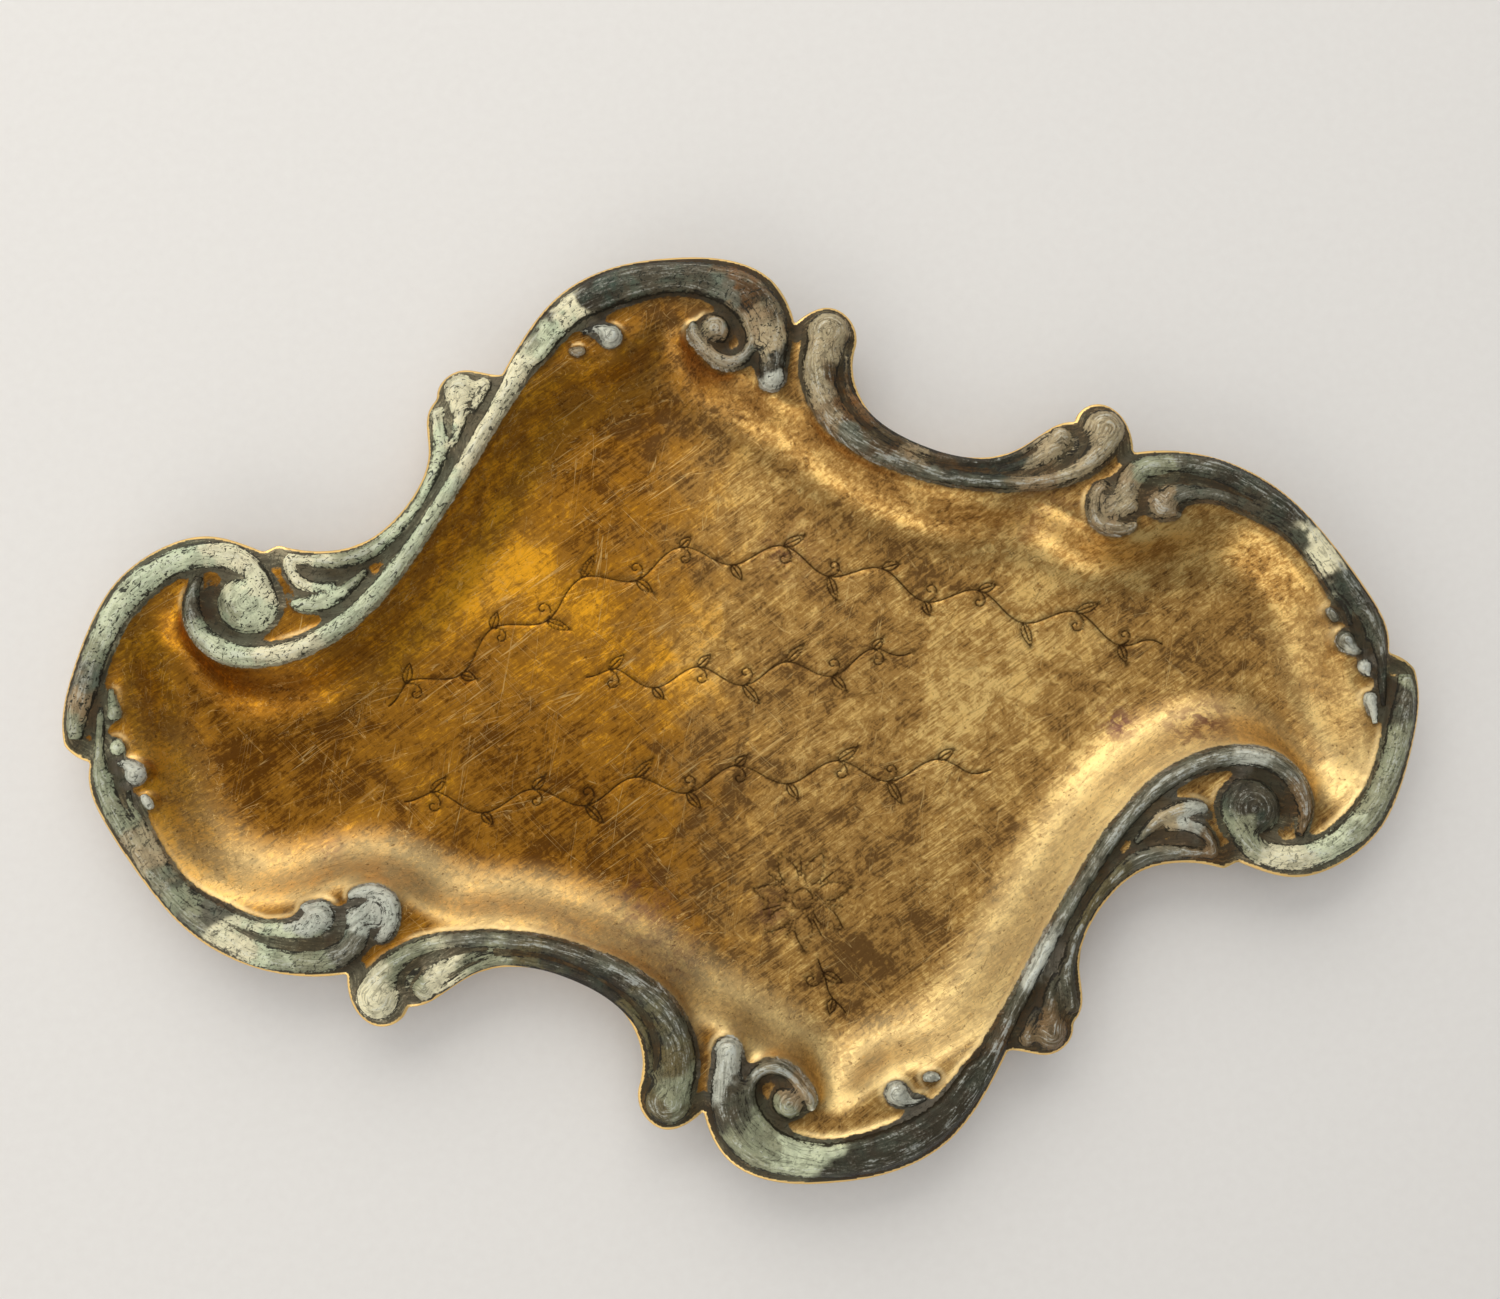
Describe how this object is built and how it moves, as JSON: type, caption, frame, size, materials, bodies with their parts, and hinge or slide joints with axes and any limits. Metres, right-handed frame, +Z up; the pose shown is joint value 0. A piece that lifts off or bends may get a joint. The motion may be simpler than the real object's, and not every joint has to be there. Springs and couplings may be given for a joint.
{
  "type": "rocaille card tray",
  "caption": "Small pressed brass tray with a dished field, wavy outline and a border of cast, patinated scrolls soldered to its flange.",
  "frame": {"origin": "middle of the tray on the surface that it rests on", "axes": "+X along the long axis towards one tip, +Z up out of the dish, +Y across the tray"},
  "size_m": [0.2204, 0.1516, 0.0116],
  "materials": {
    "brass_sheet": "old unlacquered brass, brushed and scratched, browned in places, bright along the trimmed edge",
    "patinated_casting": "cast white metal with a grey, sage and charcoal patina, pale and worn on the crests, dark in the crevices"
  },
  "bodies": {
    "root": {"tray": "brass_sheet", "s_scroll_a": "patinated_casting", "s_scroll_b": "patinated_casting", "leaf_branch_a": "patinated_casting", "leaf_branch_b": "patinated_casting", "c_scroll_a": "patinated_casting", "c_scroll_b": "patinated_casting", "crescent_scroll_a": "patinated_casting", "crescent_scroll_b": "patinated_casting", "tip_scroll_a": "patinated_casting", "tip_scroll_b": "patinated_casting", "shoulder_drops_a": "patinated_casting", "shoulder_drops_b": "patinated_casting", "tip_drops_a": "patinated_casting", "tip_drops_b": "patinated_casting"}
  },
  "joints": []
}
